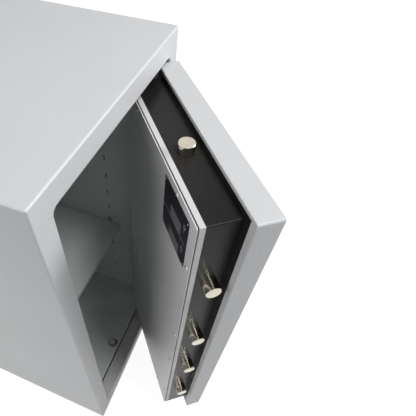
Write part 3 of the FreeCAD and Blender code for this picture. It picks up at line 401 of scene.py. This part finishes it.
def looseSolids(name):
    # the points of each loose solid of a door node, as if the door were shut
    mesh = nodes[name].data
    parent = list(range(len(mesh.vertices)))

    def root(i):
        while parent[i] != i:
            parent[i] = parent[parent[i]]
            i = parent[i]
        return i

    for edge in mesh.edges:
        a, b = root(edge.vertices[0]), root(edge.vertices[1])
        parent[a] = b
    groups = {}
    back = doorTurn.inverted()
    for i, vert in enumerate(mesh.vertices):
        groups.setdefault(root(i), []).append(back @ vert.co)
    return groups.values()


def makeCoverScrews():
    spots = set()
    for group in looseSolids("cover_screws"):
        xs, zs = [p.x for p in group], [p.z for p in group]
        spots.add((round((min(xs) + max(xs)) / 2, 4), round((min(zs) + max(zs)) / 2, 4)))
    seat = closedBox("cover_screws")[1].y - coverScrews["rise"]
    points = [doorTurn @ Vector((x, seat, z)) for x, z in sorted(spots)]
    mesh = growHeads("coverScrewHeads", points, coverScrews, finishes["zinc_steel"])
    addPiece("coverScrewHeads", mesh, "door", "zinc_steel", None, "cover_screws")


rivets = {
    "radius": 0.0013, "rise": 0.0006, "recess": 0.0004, "depth": 0.0002, "seed": 3,
    "inset": 0.0034,
}


def makeRivets():
    inset = rivets["inset"]
    points = [doorTurn @ Vector((x, plateHigh.y, z))
              for x in (plateLow.x + inset, plateHigh.x - inset)
              for z in (plateLow.z + inset, plateHigh.z - inset)]
    mesh = growHeads("plateRivets", points, rivets, finishes["zinc_steel"])
    addPiece("plateRivets", mesh, "door", "zinc_steel", None)


makeCoverScrews()
makeRivets()
print("stage 3: screws and rivets")

# White studio: small key above the door, fill from the front right, broad light on the left.

studio = {
    "floorSize": 12.0, "floorColour": (0.14, 0.14, 0.14), "floorRoughness": 0.9,
    "floorGlow": 0.94, "world": (0.24, 0.24, 0.2448), "lampTarget": (0, 0, 0.4),
    "lamps": (
        ("frontSoftbox", (-0.22, -0.95, 2.15), 0.4, 15.5),
        ("rightSoftbox", (1.2, -2.3, 1.6), 1.0, 46.0),
        ("leftSoftbox", (-1.9, 1.0, 1.30), 1.8, 23.5),
    ),
}


def isSeen(tree):
    # one where a camera, mirror or glass ray asks
    path = tree.nodes.new("ShaderNodeLightPath")
    total = path.outputs["Is Camera Ray"]
    for other in ("Is Glossy Ray", "Is Transmission Ray"):
        pick = tree.nodes.new("ShaderNodeMath")
        pick.operation = "MAXIMUM"
        tree.links.new(total, pick.inputs[0])
        tree.links.new(path.outputs[other], pick.inputs[1])
        total = pick.outputs[0]
    return total


def makeWorld():
    world = bpy.data.worlds.new("studioWorld")
    scene.world = world
    world.use_nodes = True
    tree = world.node_tree
    back = tree.nodes["Background"]
    mix = tree.nodes.new("ShaderNodeMix")
    mix.data_type = "RGBA"
    mix.inputs["A"].default_value = (*studio["world"], 1)
    mix.inputs["B"].default_value = (1, 1, 1, 1)
    tree.links.new(isSeen(tree), mix.inputs["Factor"])
    tree.links.new(mix.outputs["Result"], back.inputs["Color"])


def makeFloor():
    half = studio["floorSize"] / 2
    mesh = bpy.data.meshes.new("studioFloor")
    corners = [(-half, -half, 0), (half, -half, 0), (half, half, 0), (-half, half, 0)]
    mesh.from_pydata(corners, [], [(0, 1, 2, 3)])
    floor = bpy.data.objects.new("studioFloor", mesh)
    scene.collection.objects.link(floor)
    material, tree, shader, _ = startMaterial("floorPaper")
    shader.inputs["Base Color"].default_value = (*studio["floorColour"], 1)
    shader.inputs["Roughness"].default_value = studio["floorRoughness"]
    shader.inputs["Emission Color"].default_value = (1, 1, 1, 1)
    glow = tree.nodes.new("ShaderNodeMath")
    glow.operation = "MULTIPLY"
    glow.inputs[1].default_value = studio["floorGlow"]
    tree.links.new(isSeen(tree), glow.inputs[0])
    tree.links.new(glow.outputs[0], shader.inputs["Emission Strength"])
    mesh.materials.append(material)


def makeLamp(name, place, size, power):
    data = bpy.data.lights.new(name, "AREA")
    data.shape = "SQUARE"
    data.size = size
    data.energy = power
    lamp = bpy.data.objects.new(name, data)
    scene.collection.objects.link(lamp)
    lamp.location = place
    aim = Vector(studio["lampTarget"]) - Vector(place)
    lamp.rotation_euler = aim.to_track_quat("-Z", "Y").to_euler()


view = {
    "place": (-0.3551, -0.3749, 1.0367), "turn": (37.018, -0.162, -67.294),
    "sensor": 36.0, "lens": 31.59, "shift": (0.1552, 0.0819), "nearest": 0.01,
}


def makeCamera():
    data = bpy.data.cameras.new("viewCamera")
    data.sensor_width = view["sensor"]
    data.lens = view["lens"]
    data.shift_x, data.shift_y = view["shift"]
    data.clip_start = view["nearest"]
    camera = bpy.data.objects.new("viewCamera", data)
    scene.collection.objects.link(camera)
    camera.location = view["place"]
    camera.rotation_euler = [math.radians(a) for a in view["turn"]]
    scene.camera = camera


makeWorld()
makeFloor()
makeCamera()
for lampName, place, size, power in studio["lamps"]:
    makeLamp(lampName, place, size, power)
scene.view_settings.view_transform = "Standard"
print("stage 4: studio and camera")
